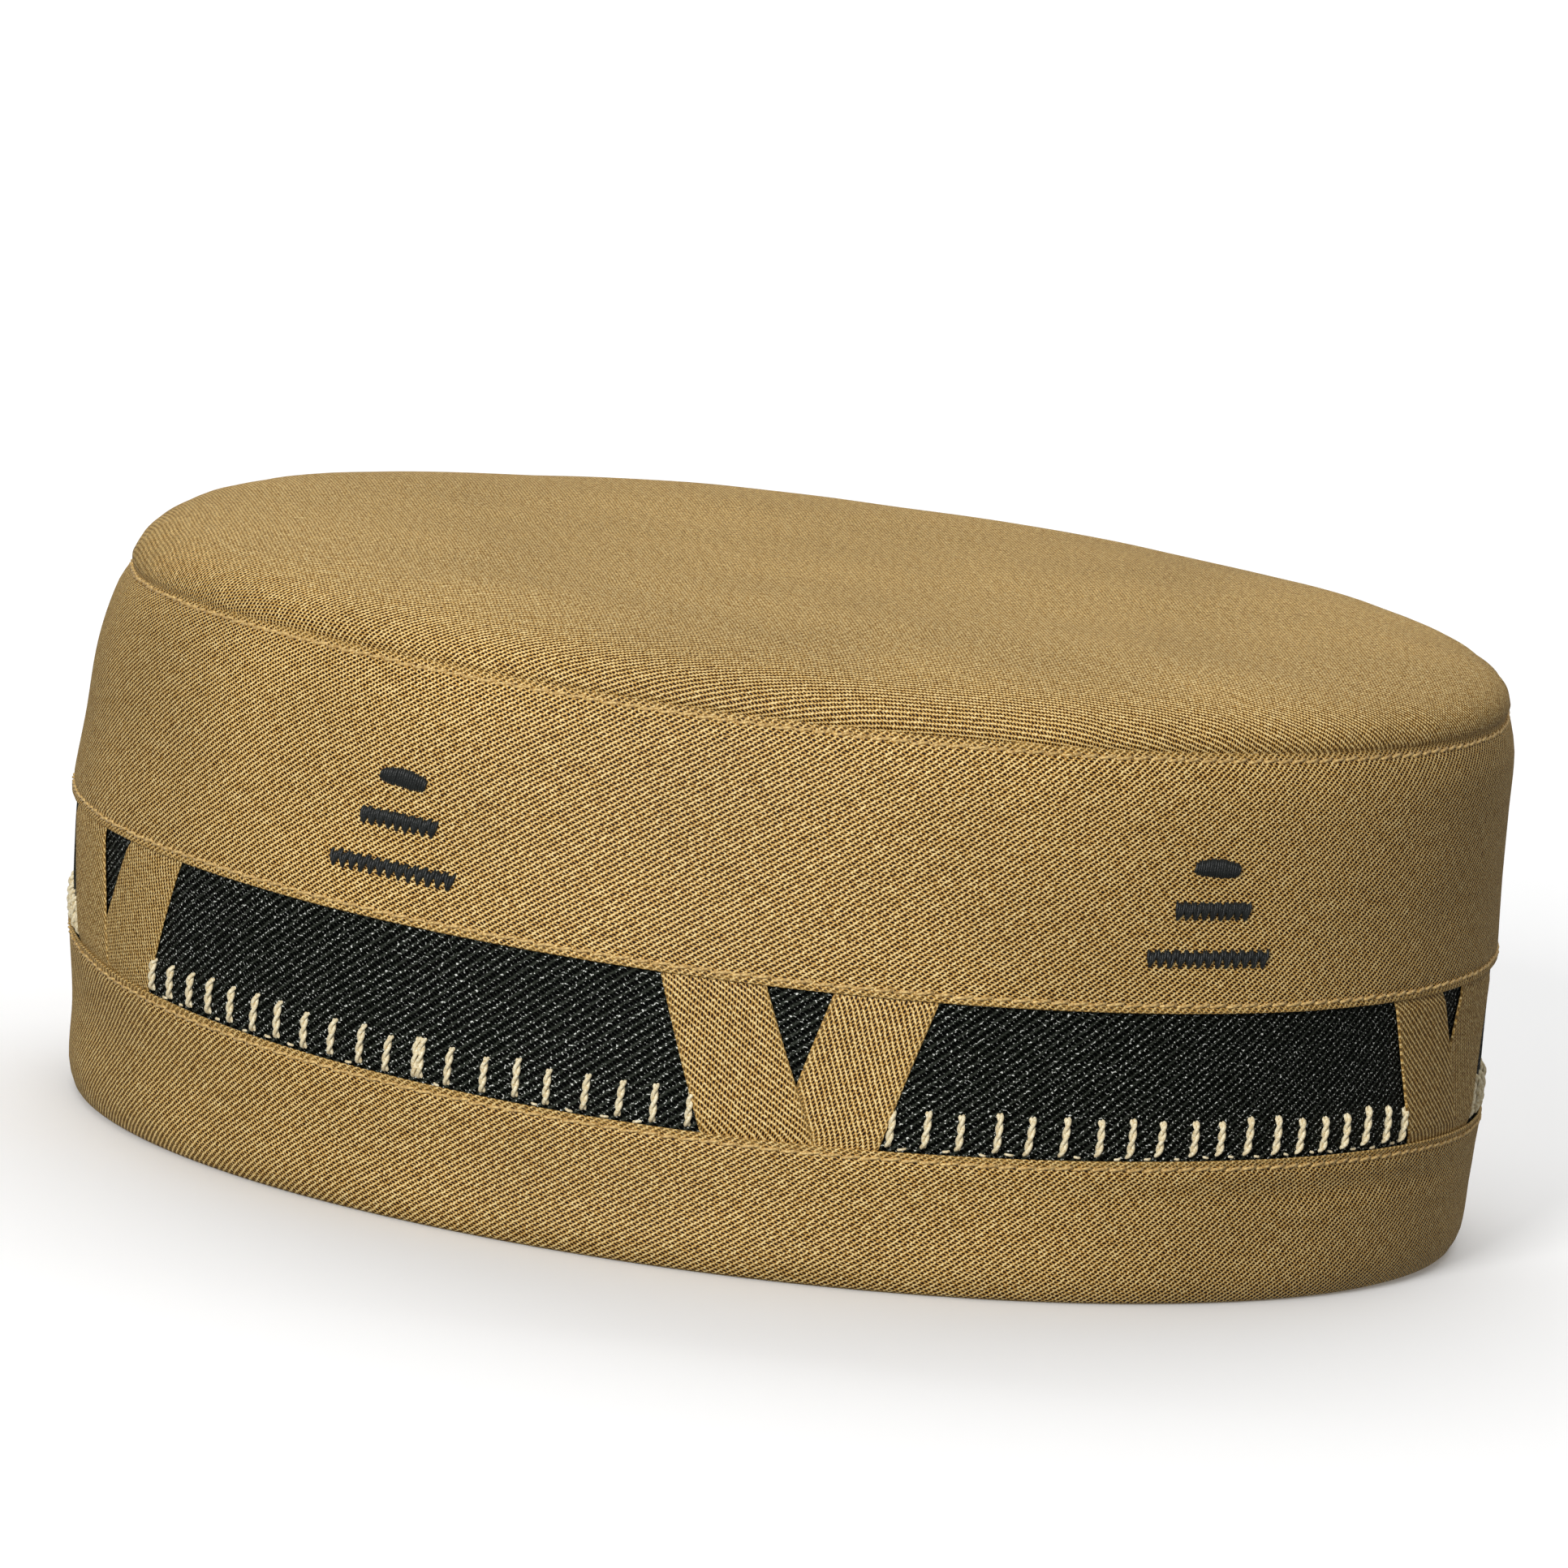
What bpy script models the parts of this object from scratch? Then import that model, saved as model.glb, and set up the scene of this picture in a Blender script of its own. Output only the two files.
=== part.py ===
"""A pillbox kufi: a cushioned crown, a tall band, an inset dark band with slanted ribbons, and a hem band.

Units are metres, +Z is up, and the front faces -Y. The origin is the centre of the rim, on the
surface that the hat rests on. A place on the side is given by its azimuth (0 at the front, positive
to the right), its height, and how far it is set in from the outside of the wall.
"""

import math
from bisect import bisect_right

import bmesh
import bpy
from mathutils import Vector

# Heights on the side, from the rim up
HEM_EDGE = 0.0200        # top edge of the hem band
TALL_EDGE = 0.0390       # bottom edge of the tall band
SEAM = 0.0740            # where the crown is sewn in
LAP = 0.0060             # how far a folded edge laps over its neighbour

# Cloth
WALL = 0.0025            # a tan band with its stiffening
FOLDED_LAYER = 0.0012    # the folded edge alone, where it laps over a neighbour
INNER_LAYER = 0.0010     # the dark band, and the crown's sewn-in skirt
RIBBON_CLOTH = 0.0010
CROWN_WALL = 0.0016
GAP = 0.0003             # air between two pieces that touch on the real hat
FOLD = 0.0004            # rounding of a folded edge

# Plan: the hat is a little wider than it is deep
WIDER = 1.016
SHALLOWER = 0.984

# Outside of the side wall, rim to seam. The lean is a shift to the wearer's left, +X.
SIDE_FORM = (
    # height, mean radius, lean
    (0.000, 0.0929, 0.0013),
    (0.003, 0.0942, 0.0013),
    (0.010, 0.0946, 0.0012),
    (0.020, 0.0956, 0.0006),
    (0.030, 0.0959, 0.0000),
    (0.040, 0.0960, -0.0003),
    (0.050, 0.0954, -0.0002),
    (0.060, 0.0950, -0.0001),
    (0.068, 0.0941, 0.0006),
    (0.072, 0.0926, 0.0011),
    (0.074, 0.0915, 0.0013),
)

# The crown is a flat cushion with round shoulders, a superellipse in section
CROWN_RADIUS = 0.0912
CROWN_RISE = 0.0078
CROWN_FLATNESS = 7.0     # power of the radius: a high value gives a flat top
CROWN_SHOULDER = 2.2     # power of the height: 2 is round, and more is boxy
CROWN_STEPS = 14         # steps from the shoulder to the middle

# The hem band's top edge isn't level. These shifts fade out at the rim and at the tall band.
EDGE_WAVES = (
    # turns in a round, phase in degrees, height
    (1, 180.0, 0.0019),
    (2, -35.0, 0.0016),
)

# Each V is two slanted ribbons, in degrees of azimuth. The feet are counted from the V's middle.
VS = (
    # middle, half the gap at the top, width of left, width of right, inner foot of left, of right
    (-66.3, 2.9, 11.0, 8.7, -0.6, -3.4),
    (2.2, 2.6, 8.25, 8.25, 2.0, -0.2),
    (69.8, 2.3, 8.6, 10.7, 4.0, -2.2),
    (144.3, 2.6, 8.25, 8.25, 2.0, -0.2),
    (219.0, 2.6, 8.25, 8.25, 2.0, -0.2),
)
OUTER_SLANT = 3.9        # how far an outer edge moves towards the middle on its way down
RIBBON_COLUMNS = 3
RIBBON_ROWS = 6

AROUND = 80              # segments round the hat
PLAIN_RADIUS = 0.1       # radius of the plain cylinder that a band is spun on
SHARP_ANGLE = 35         # degrees
TAN = (0.38, 0.24, 0.085)
DARK = (0.008, 0.009, 0.008)


def side_form(height):
    """Mean outer radius and lean of the side at a height, on smooth curves through the table."""
    heights = [row[0] for row in SIDE_FORM]
    last = len(SIDE_FORM) - 1
    i = min(max(bisect_right(heights, height) - 1, 0), last - 1)
    span = heights[i + 1] - heights[i]
    s = min(max((height - heights[i]) / span, 0.0), 1.0)

    def curve(column):
        values = [row[column] for row in SIDE_FORM]

        def slope(k):
            a, b = max(k - 1, 0), min(k + 1, last)
            return (values[b] - values[a]) / (heights[b] - heights[a])

        ends = values[i] * (1 + 2 * s) * (1 - s) ** 2 + values[i + 1] * s * s * (3 - 2 * s)
        slopes = slope(i) * s * (1 - s) ** 2 - slope(i + 1) * s * s * (1 - s)
        return ends + slopes * span

    return curve(1), curve(2)


def edge_shift(azimuth, height):
    """How far the side is shifted up at a place. It is greatest at the hem band's top edge."""
    rising = height / HEM_EDGE
    falling = (TALL_EDGE - height) / (TALL_EDGE - HEM_EDGE)
    share = max(min(rising, falling), 0.0)
    lift = sum(rise * math.sin(turns * azimuth + math.radians(phase)) for turns, phase, rise in EDGE_WAVES)
    return share * lift


def place(azimuth, radius, height):
    """Puts a point of the round, level hat on the real one: oval, leaning and with a waved edge."""
    lean = side_form(height)[1]
    return Vector((
        radius * WIDER * math.sin(azimuth) + lean,
        -radius * SHALLOWER * math.cos(azimuth),
        height + edge_shift(azimuth, height),
    ))


def on_side(azimuth, height, inset):
    """The point at an azimuth and height, set in from the outside of the wall."""
    return place(azimuth, side_form(height)[0] - inset, height)


def fabric(name, colour):
    material = bpy.data.materials.new(name)
    material.use_nodes = True
    shader = material.node_tree.nodes["Principled BSDF"]
    shader.inputs["Base Color"].default_value = (*colour, 1)
    shader.inputs["Roughness"].default_value = 0.8
    shader.inputs["Metallic"].default_value = 0.0
    return material


def add_object(name, bm, material):
    """Turns a bmesh into a named object at the origin, with its faces outwards."""
    bmesh.ops.recalc_face_normals(bm, faces=bm.faces)
    if bm.calc_volume(signed=True) < 0:
        bmesh.ops.reverse_faces(bm, faces=bm.faces)
    mesh = bpy.data.meshes.new(name)
    bm.to_mesh(mesh)
    bm.free()
    mesh.materials.append(material)
    mesh.shade_smooth()
    mesh.set_sharp_from_angle(angle=math.radians(SHARP_ANGLE))
    obj = bpy.data.objects.new(name, mesh)
    bpy.context.scene.collection.objects.link(obj)
    return obj


def spin_round(bm, geometry):
    """Spins geometry once round the Z axis and closes it on itself."""
    bmesh.ops.spin(
        bm, geom=geometry, cent=(0, 0, 0), axis=(0, 0, 1), angle=math.tau,
        steps=AROUND, use_merge=True, use_duplicate=False,
    )


def band(name, section, material):
    """Spins a section of (inset, height) points into a plain ring, then wraps it onto the hat's form."""
    bm = bmesh.new()
    start = bm.faces.new([bm.verts.new((0, -(PLAIN_RADIUS - inset), height)) for inset, height in section])
    spin_round(bm, [start])
    inside = [face for face in bm.faces if len(face.verts) == len(section)]
    bmesh.ops.delete(bm, geom=inside, context="FACES")
    for vert in bm.verts:
        azimuth = math.atan2(vert.co.x, -vert.co.y)
        inset = PLAIN_RADIUS - math.hypot(vert.co.x, vert.co.y)
        vert.co = on_side(azimuth, vert.co.z, inset)
    return add_object(name, bm, material)


def heights_between(low, high, steps):
    return [low + (high - low) * i / steps for i in range(1, steps)]


def tall_band(material):
    """The tall band: full thickness in the middle, and one layer where it laps at both edges."""
    low_lap, high_lap = TALL_EDGE + LAP, SEAM - LAP
    outside = [(0.0, height) for height in heights_between(TALL_EDGE, SEAM, 6)]
    bottom_fold = [(FOLD, TALL_EDGE), (0.0, TALL_EDGE + FOLD)]
    top_fold = [(0.0, SEAM - FOLD), (FOLD, SEAM), (FOLDED_LAYER, SEAM)]
    inside = [
        (FOLDED_LAYER, high_lap), (WALL, high_lap), (WALL, (low_lap + high_lap) / 2),
        (WALL, low_lap), (FOLDED_LAYER, low_lap), (FOLDED_LAYER, TALL_EDGE),
    ]
    return band("tall_band", bottom_fold + outside + top_fold + inside, material)


def hem_band(material):
    """The band at the rim. Its bottom face is flat, and its top edge laps over the dark band."""
    lap_foot = HEM_EDGE - LAP
    outside = [(0.0, height) for height in heights_between(0.0, HEM_EDGE, 4)]
    bottom_fold = [(FOLD, 0.0), (0.0, FOLD)]
    top_fold = [(0.0, HEM_EDGE - FOLD), (FOLD, HEM_EDGE), (FOLDED_LAYER, HEM_EDGE)]
    inside = [(FOLDED_LAYER, lap_foot), (WALL, lap_foot), (WALL, FOLD), (WALL - FOLD, 0.0)]
    return band("hem_band", bottom_fold + outside + top_fold + inside, material)


def dark_band(material):
    """The inset band, one layer behind the folded edges of both tan bands."""
    outer = FOLDED_LAYER + GAP
    inner = outer + INNER_LAYER
    low, high = HEM_EDGE - LAP + GAP, TALL_EDGE + LAP - GAP
    outside = [(outer, height) for height in heights_between(low, high, 3)]
    section = [(outer, low)] + outside + [(outer, high), (inner, high), (inner, low)]
    return band("dark_band", section, material)


def cushion(radius, rise, steps):
    """Section points (radius, height) of a cushion, from its shoulder to its middle."""
    points = []
    for i in range(steps):
        swing = math.pi / 2 * i / steps
        across = math.cos(swing) ** (2 / CROWN_FLATNESS)
        lift = math.sin(swing) ** (2 / CROWN_SHOULDER)
        points.append((radius * across, SEAM + GAP + rise * lift))
    return points + [(0.0, SEAM + GAP + rise)]


def crown(material):
    """The top: a skirt sewn in behind the tall band's edge, a round shoulder and a flat cushion."""
    low = SEAM - LAP + GAP
    outer = FOLDED_LAYER + GAP
    inner = outer + INNER_LAYER
    outside = [(side_form(low)[0] - outer, low), (side_form(SEAM)[0] - outer, SEAM)]
    outside += cushion(CROWN_RADIUS, CROWN_RISE, CROWN_STEPS)
    inside = [(side_form(low)[0] - inner, low)]
    inside += cushion(CROWN_RADIUS - CROWN_WALL, CROWN_RISE - CROWN_WALL, CROWN_STEPS - 4)
    bm = bmesh.new()
    verts = [bm.verts.new((0, -radius, height)) for radius, height in outside[::-1] + inside]
    edges = [bm.edges.new(pair) for pair in zip(verts, verts[1:])]
    spin_round(bm, verts + edges)
    bmesh.ops.remove_doubles(bm, verts=bm.verts, dist=1e-6)
    for vert in bm.verts:
        vert.co = place(math.atan2(vert.co.x, -vert.co.y), math.hypot(vert.co.x, vert.co.y), vert.co.z)
    return add_object("crown", bm, material)


def ribbon(name, left_edge, right_edge, material):
    """A slanted ribbon on the dark band. Each edge gives degrees of azimuth at a share of the way down."""
    top, foot = TALL_EDGE - GAP, HEM_EDGE + GAP
    bm = bmesh.new()
    bmesh.ops.create_grid(bm, x_segments=RIBBON_COLUMNS, y_segments=RIBBON_ROWS, size=1.0)
    back = bmesh.ops.extrude_face_region(bm, geom=bm.faces[:])["geom"]
    back_verts = {item for item in back if isinstance(item, bmesh.types.BMVert)}
    for vert in bm.verts:
        across, down = (vert.co.x + 1) / 2, (1 - vert.co.y) / 2
        left, right = left_edge(down), right_edge(down)
        inset = FOLDED_LAYER if vert in back_verts else FOLDED_LAYER - RIBBON_CLOTH
        vert.co = on_side(math.radians(left + (right - left) * across), top + (foot - top) * down, inset)
    return add_object(name, bm, material)


def ribbon_pair(number, row, material):
    """The two ribbons of a V. The left one is whole, and the right one stops at its edge."""
    middle, half_gap, left_width, right_width, left_foot, right_foot = row
    clear = math.degrees(GAP / side_form(HEM_EDGE)[0]) * 1.15

    def left_outer(down):
        return middle - half_gap - left_width + OUTER_SLANT * down

    def left_inner(down):
        return middle - half_gap + (half_gap + left_foot) * down

    def right_inner(down):
        return max(middle + half_gap + (right_foot - half_gap) * down, left_inner(down) + clear)

    def right_outer(down):
        return middle + half_gap + right_width - OUTER_SLANT * down

    ribbon(f"ribbon_left_{number}", left_outer, left_inner, material)
    ribbon(f"ribbon_right_{number}", right_inner, right_outer, material)


def main():
    for obj in list(bpy.data.objects):
        bpy.data.objects.remove(obj)
    tan, dark = fabric("tan_twill", TAN), fabric("dark_twill", DARK)
    hem_band(tan)
    dark_band(dark)
    tall_band(tan)
    crown(tan)
    for number, row in enumerate(VS, start=1):
        ribbon_pair(number, row, tan)


main()
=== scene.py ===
# %% [markdown]
# A pillbox kufi is a round cap without a brim: a flat crown sewn to an upright side. This one is tan
# twill, with a dark band let into its side under slanted tan ribbons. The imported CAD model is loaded
# first as a fixed frame. Every cloth and thread made here is then drawn on the same form as that
# frame, so it lies where the CAD model has it.

# %% Load the frame
import math
import random
from bisect import bisect_right

import bmesh
import bpy
from mathutils import Matrix, Vector, noise


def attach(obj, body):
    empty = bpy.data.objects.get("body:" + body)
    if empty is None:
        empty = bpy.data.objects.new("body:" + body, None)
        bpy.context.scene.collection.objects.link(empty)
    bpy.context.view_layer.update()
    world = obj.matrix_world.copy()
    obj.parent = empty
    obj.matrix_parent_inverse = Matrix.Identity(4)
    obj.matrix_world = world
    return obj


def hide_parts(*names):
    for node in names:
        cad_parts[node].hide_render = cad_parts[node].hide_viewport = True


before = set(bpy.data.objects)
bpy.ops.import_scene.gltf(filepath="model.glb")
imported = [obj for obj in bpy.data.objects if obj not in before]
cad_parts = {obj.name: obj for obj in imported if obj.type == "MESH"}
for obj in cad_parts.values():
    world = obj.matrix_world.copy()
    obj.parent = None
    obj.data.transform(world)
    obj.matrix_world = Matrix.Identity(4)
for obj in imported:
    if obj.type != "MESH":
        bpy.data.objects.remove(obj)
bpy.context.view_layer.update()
MM = 0.001

# %% [markdown]
# The side of the hat isn't a plain cylinder. It swells a little at the dark band, draws in at the
# crown, is slightly wider than deep, and its hem band's edge isn't level. All of that is kept in one
# function, place(), so each piece can be drawn on a plain round hat and then wrapped onto the real
# one. That is why seams, stitches and ribbons stay in line with each other.

# %% The form of the side
HEM_EDGE, TALL_EDGE, SEAM = 0.0200, 0.0390, 0.0740
LAP, WALL, GAP = 0.0060, 0.0025, 0.0003
FOLDED_CLOTH = 0.00045   # two layers of the tan cloth, pressed flat at a folded edge
DARK_INSET = 0.00056     # how far the dark band lies behind the tan bands' outside
WIDER, SHALLOWER = 1.016, 0.984
SIDE_RADIUS = 0.0955     # turns small distances round the side into angles
SIDE_FORM = (
    # height, mean radius, lean
    (0.000, 0.0929, 0.0013),
    (0.003, 0.0942, 0.0013),
    (0.010, 0.0946, 0.0012),
    (0.020, 0.0956, 0.0006),
    (0.030, 0.0959, 0.0000),
    (0.040, 0.0960, -0.0003),
    (0.050, 0.0954, -0.0002),
    (0.060, 0.0950, -0.0001),
    (0.068, 0.0941, 0.0006),
    (0.072, 0.0926, 0.0011),
    (0.074, 0.0915, 0.0013),
)
EDGE_WAVES = ((1, 180.0, 0.0019), (2, -35.0, 0.0016))  # turns in a round, phase, height
EDGE_LIFT, EDGE_LIFT_AT_SIDES = 0.0004, 0.0006  # rise of the tall band's lower edge
SETTLED_FROM, SEAM_DROP = 0.060, 0.0018  # the crown's seam sinks by this much at the left side


def share_between(value, low, high):
    """How far a value is on its way from low to high, kept within 0 and 1."""
    return min(max((value - low) / (high - low), 0.0), 1.0)


def side_form(height):
    """Mean outer radius and lean of the side at a height, on smooth curves through the table."""
    heights = [row[0] for row in SIDE_FORM]
    last = len(SIDE_FORM) - 1
    i = min(max(bisect_right(heights, height) - 1, 0), last - 1)
    span = heights[i + 1] - heights[i]
    s = share_between(height, heights[i], heights[i + 1])

    def curve(column):
        values = [row[column] for row in SIDE_FORM]

        def slope(k):
            a, b = max(k - 1, 0), min(k + 1, last)
            return (values[b] - values[a]) / (heights[b] - heights[a])

        ends = values[i] * (1 + 2 * s) * (1 - s) ** 2 + values[i + 1] * s * s * (3 - 2 * s)
        slopes = slope(i) * s * (1 - s) ** 2 - slope(i + 1) * s * s * (1 - s)
        return ends + slopes * span

    return curve(1), curve(2)


def edge_shift(azimuth, height):
    """How far the side is shifted up at a place. It is greatest at the hem band's top edge."""
    share = max(min(height / HEM_EDGE, (TALL_EDGE - height) / (TALL_EDGE - HEM_EDGE)), 0.0)
    return share * sum(rise * math.sin(turns * azimuth + math.radians(phase))
                       for turns, phase, rise in EDGE_WAVES)


def tall_edge_rise(azimuth, height):
    """The tall band's lower edge lies a little high, most at both sides of the hat."""
    below = (height - HEM_EDGE) / (TALL_EDGE - HEM_EDGE)
    above = (SEAM - height) / (SEAM - TALL_EDGE)
    share = max(min(below, above), 0.0)
    return share * (EDGE_LIFT + EDGE_LIFT_AT_SIDES * math.sin(azimuth) ** 2)


def seam_drop(azimuth, height):
    """The crown's seam lies lower at the left side, where the band has settled."""
    share = share_between(height, SETTLED_FROM, SEAM)
    return share * SEAM_DROP * max(-math.sin(azimuth), 0.0) ** 6


def place(azimuth, radius, height):
    """Puts a point of the round, level hat on the real one."""
    return Vector((
        radius * WIDER * math.sin(azimuth) + side_form(height)[1],
        -radius * SHALLOWER * math.cos(azimuth),
        height + edge_shift(azimuth, height) + tall_edge_rise(azimuth, height),
    ))


def on_side(azimuth, height, inset):
    """The point at an azimuth and height, set in from the outside of the wall."""
    lower = height - seam_drop(azimuth, height)
    return place(azimuth, side_form(lower)[0] - inset, lower)


print("Front of the tall band's lower edge, mm:", [round(c / MM, 1) for c in on_side(0, TALL_EDGE, 0)])

# %% [markdown]
# The camera comes next, so that every test render can be laid over the photograph. The hat is seen
# from a little above, from two metres away through a long lens, and the camera is rolled, which is
# why the hat seems to tip to the right. Blender looks down the camera's own -Z, so its axes are
# worked out one by one and written as the columns of a matrix.

# %% Camera
ELEVATION, ROLL = math.radians(8.8), math.radians(6.82)
DISTANCE, LENS = 2.0, 337.3
AIM = Vector((0, 0, 0.045))
OFF_CENTRE = (0.0011, -0.0065)  # the aim lies this far right of and above the picture's centre

right = Vector((1, 0, 0))
up = Vector((0, math.sin(ELEVATION), math.cos(ELEVATION)))
back = Vector((0, -math.cos(ELEVATION), math.sin(ELEVATION)))
rolled_right = right * math.cos(ROLL) + up * math.sin(ROLL)
rolled_up = up * math.cos(ROLL) - right * math.sin(ROLL)

lens = bpy.data.cameras.new("camera")
lens.lens, lens.sensor_width = LENS, 36.0
lens.clip_start, lens.clip_end = 0.05, 60.0
camera = bpy.data.objects.new("camera", lens)
bpy.context.scene.collection.objects.link(camera)
camera.matrix_world = Matrix((
    (rolled_right.x, rolled_up.x, back.x, 0),
    (rolled_right.y, rolled_up.y, back.y, 0),
    (rolled_right.z, rolled_up.z, back.z, 0),
    (0, 0, 0, 1),
))
camera.location = AIM + back * DISTANCE - rolled_right * OFF_CENTRE[0] - rolled_up * OFF_CENTRE[1]
bpy.context.scene.camera = camera
bpy.context.scene.view_settings.view_transform = "Standard"
print("Camera at", [round(c, 3) for c in camera.location])

# %% [markdown]
# Cloth needs soft light that still comes mainly from one side, or its ridges don't show. A large
# lamp stands at the front left, a weaker one at the front right, and two wide ones hang above to keep
# the floor pale, near and far. The world fills the shadows, and the floor glows a little, so it stays
# nearly white. The wide lamps leave no gloss on the cloth, and the floor sends no light back to the
# hat, because the hat's sides turn deep brown in the photograph and light from all round would
# bleach them.


# %% Floor and light
def lamp(name, at, size, power):
    """A square soft lamp at a place, turned to the hat."""
    light = bpy.data.lights.new(name, "AREA")
    light.shape, light.size, light.energy = "SQUARE", size, power
    obj = bpy.data.objects.new(name, light)
    bpy.context.scene.collection.objects.link(obj)
    obj.location = at
    obj.rotation_euler = (Vector(at) - AIM).to_track_quat("Z", "Y").to_euler()
    return obj


lamp("key_lamp", (-0.95, -2.5, 0.95), 0.7, 62)
lamp("fill_lamp", (1.1, -2.5, 0.7), 0.9, 7)
lamp("top_lamp", (0.0, 0.3, 2.2), 2.4, 19).visible_glossy = False
far_lamp = lamp("far_lamp", (0.0, 3.6, 2.6), 4.0, 150)
far_lamp.rotation_euler = (0, 0, 0)
far_lamp.visible_glossy = False

world = bpy.data.worlds.new("pale_room")
bpy.context.scene.world = world
world.use_nodes = True
air = world.node_tree.nodes["Background"].inputs
air["Color"].default_value = (1.0, 1.0, 1.0, 1)
air["Strength"].default_value = 0.19

bm = bmesh.new()
bmesh.ops.create_grid(bm, x_segments=1, y_segments=1, size=12.0)
floor_mesh = bpy.data.meshes.new("floor")
bm.to_mesh(floor_mesh)
bm.free()
floor = bpy.data.objects.new("floor", floor_mesh)
bpy.context.scene.collection.objects.link(floor)
paint = bpy.data.materials.new("floor_paint")
paint.use_nodes = True
coat = paint.node_tree.nodes["Principled BSDF"].inputs
coat["Base Color"].default_value = (0.92, 0.92, 0.92, 1)
coat["Roughness"].default_value = 0.9
coat["Emission Color"].default_value = (1.0, 1.0, 1.0, 1)
coat["Emission Strength"].default_value = 0.10
floor_mesh.materials.append(paint)
floor.visible_diffuse = floor.visible_glossy = False

# %% [markdown]
# The finishes are drawn with nodes. Twill is a weave in which each thread passes over two or three
# others, one step further on in every row, so the floats line up as slanting ridges called wales. A
# sum of a few waves draws that: one wave across the wales, and others for the single floats. The UV
# map of each cloth is counted in threads, so a wave is written as turns for each warp and weft
# thread. A picture of cloth could have been used instead, but a drawn weave stays sharp at any size.


# %% Node helpers
def node(tree, kind, **settings):
    made = tree.nodes.new("ShaderNode" + kind)
    for key, value in settings.items():
        setattr(made, key, value)
    return made


def feed(tree, made, *sources):
    """Plugs sockets or plain values into a node, in order, and gives back its first output."""
    for socket, source in zip(made.inputs, sources):
        if isinstance(source, bpy.types.NodeSocket):
            tree.links.new(source, socket)
        elif source is not None:
            socket.default_value = source
    return made.outputs[0]


def maths(tree, operation, *values):
    return feed(tree, node(tree, "Math", operation=operation), *values)


def vectors(tree, operation, *values):
    return feed(tree, node(tree, "VectorMath", operation=operation), *values)


def cloud(tree, where, scale, detail=2.0, colour=False):
    """Soft noise of a given scale. Its grey value lies round 0.5."""
    made = node(tree, "TexNoise", noise_dimensions="3D")
    tree.links.new(where, made.inputs["Vector"])
    made.inputs["Scale"].default_value = scale
    made.inputs["Detail"].default_value = detail
    return made.outputs["Color" if colour else "Fac"]


def remap(tree, value, low, high, new_low=0.0, new_high=1.0):
    made = node(tree, "MapRange", clamp=True)
    return feed(tree, made, value, low, high, new_low, new_high)


def blend_colours(tree, share, first, second, how="MIX"):
    made = node(tree, "Mix", data_type="RGBA", blend_type=how)
    for name, source in (("Factor_Float", share), ("A_Color", first), ("B_Color", second)):
        socket = next(s for s in made.inputs if s.identifier == name)
        if isinstance(source, bpy.types.NodeSocket):
            tree.links.new(source, socket)
        else:
            socket.default_value = source
    return next(s for s in made.outputs if s.identifier == "Result_Color")


def from_srgb(red, green, blue):
    """A colour as a paint chart gives it, 0 to 255, turned into the linear values that shaders use."""
    def linear(value):
        value /= 255
        return value / 12.92 if value <= 0.04045 else ((value + 0.055) / 1.055) ** 2.4
    return (linear(red), linear(green), linear(blue), 1.0)


def new_finish(name, roughness, sheen=0.0, specular=0.3):
    material = bpy.data.materials.new(name)
    material.use_nodes = True
    shader = material.node_tree.nodes["Principled BSDF"]
    shader.inputs["Roughness"].default_value = roughness
    shader.inputs["Sheen Weight"].default_value = sheen
    shader.inputs["Sheen Roughness"].default_value = 0.5
    shader.inputs["Specular IOR Level"].default_value = specular
    return material, material.node_tree, shader


# %% [markdown]
# Real threads aren't ruled lines. Each noise below moves the thread count a little before the waves
# read it: a slow one lets the wales wander over centimetres, and a quick one makes single threads
# uneven. The result is a height from 0 in the holes between threads to 1 on top of the floats, which
# drives the bump, and also the colour, as painted shade in the holes and a painted highlight on the
# floats.

# %% Weave helper
WARP, WEFT = 0.000373, 0.000280  # thread spacing of the tan cloth
DARK_WEFT = 0.00031              # the same up the dark band, whose warps are counted round the hat
WANDER, JITTER = 2.2, 0.9        # how far the noises move the thread count, in threads
FLAT_FROM = 0.55                 # share of the highest sum of waves from which a float is flat
TAN_WAVES = ((1.0, 1 / 3, -1 / 3), (0.62, 1 / 3, 2 / 3), (0.57, 2 / 3, 1 / 3), (0.45, 0.0, 1.0))
DARK_WAVES = ((1.0, 1 / 4, -1 / 4), (0.55, 1 / 2, 1 / 2), (0.45, 1 / 4, 3 / 4), (0.35, 3 / 4, 1 / 4))


def weave_height(tree, threads, where, waves):
    """Height of a woven surface, 0 to 1. Each wave has a strength and turns per warp and weft."""
    slow = vectors(tree, "SUBTRACT", cloud(tree, where, 45.0, 2.0, True), (0.5, 0.5, 0.5))
    quick = vectors(tree, "SUBTRACT", cloud(tree, threads, 0.45, 1.0, True), (0.5, 0.5, 0.5))
    moved = vectors(tree, "ADD", threads, vectors(tree, "MULTIPLY", slow, (WANDER, WANDER, 0.0)))
    moved = vectors(tree, "ADD", moved, vectors(tree, "MULTIPLY", quick, (JITTER, JITTER, 0.0)))
    total = 0.0
    for strength, warps, wefts in waves:
        dot = node(tree, "VectorMath", operation="DOT_PRODUCT")
        feed(tree, dot, moved, (warps * math.tau, wefts * math.tau, 0.0))
        wave = maths(tree, "COSINE", dot.outputs["Value"])
        total = maths(tree, "MULTIPLY_ADD", wave, -strength, total)
    deepest = -sum(wave[0] for wave in waves)
    return remap(tree, total, deepest, -FLAT_FROM * deepest)


def ramp(tree, value, *stops):
    made = node(tree, "ValToRGB")
    while len(made.color_ramp.elements) < len(stops):
        made.color_ramp.elements.new(0.5)
    for element, (position, colour) in zip(made.color_ramp.elements, stops):
        element.position, element.color = position, colour
    return feed(tree, made, value)


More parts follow.
